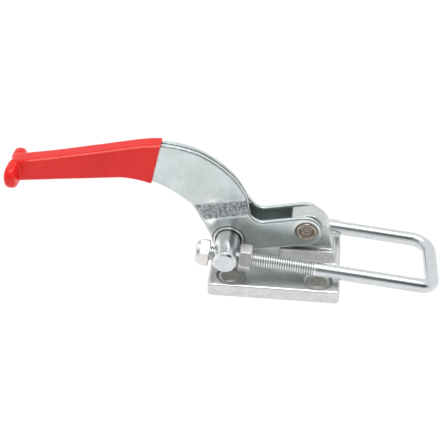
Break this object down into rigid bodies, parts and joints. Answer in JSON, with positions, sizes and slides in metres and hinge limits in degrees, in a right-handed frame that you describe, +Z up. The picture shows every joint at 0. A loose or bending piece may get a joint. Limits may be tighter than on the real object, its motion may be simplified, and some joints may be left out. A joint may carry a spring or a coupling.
{
  "type": "over centre toggle latch",
  "caption": "Heavy over centre toggle latch with a forged base, a pressed steel handle with a red grip, and a U-bolt hook adjusted by nuts.",
  "frame": {"origin": "centre of the four mounting holes on the base's underside", "axes": "+X from the handle's end towards the loop of the U-bolt, +Z up out of the mounting face, +Y across the latch"},
  "size_m": [0.2287, 0.0636, 0.0747],
  "materials": {
    "forged_plated": "zinc plated over a forged skin, satin",
    "sheet_plated": "zinc plated pressed steel, satin",
    "bright_steel": "zinc plated round bar, bright",
    "nut_steel": "zinc plated, satin",
    "bush_steel": "plain steel bush, satin",
    "rivet_copper": "copper-coloured, dull",
    "grip_vinyl": "red dipped vinyl, semi-gloss",
    "nylon": "natural nylon"
  },
  "bodies": {
    "base": {"base": "forged_plated"},
    "handle": {"handle_plate_near": "sheet_plated", "handle_plate_far": "sheet_plated", "pivot_rivet": "rivet_copper", "handle_rivet_front": "nut_steel", "handle_rivet_rear": "nut_steel", "grip": "grip_vinyl", "shaft_bush_near": "bush_steel", "shaft_bush_far": "bush_steel"},
    "trunnion": {"trunnion_shaft": "bright_steel"},
    "u_bolt": {"u_bolt": "bright_steel", "adjusting_nut_near": "nut_steel", "adjusting_nut_far": "nut_steel", "lock_nut_near": "nut_steel", "lock_nut_far": "nut_steel", "lock_insert_near": "nylon", "lock_insert_far": "nylon"}
  },
  "joints": [
    {"name": "handle_pivot", "type": "hinge", "parent": "base", "child": "handle", "pos_m": [0.0155, 0, 0.0284], "axis": [0, 1, 0], "range_deg": [0, 120]},
    {"name": "trunnion_level", "type": "hinge", "parent": "handle", "child": "trunnion", "pos_m": [-0.0256, 0, 0.0201], "axis": [0, 1, 0], "range_deg": [-120, 0]},
    {"name": "hook_slide", "type": "slide", "parent": "trunnion", "child": "u_bolt", "axis": [0.9933, 0, -0.1153], "range_m": [-0.0004, 0.0021]}
  ],
  "couplings": [
    {"joint": "trunnion_level", "follows": "handle_pivot", "ratio": -1}
  ]
}
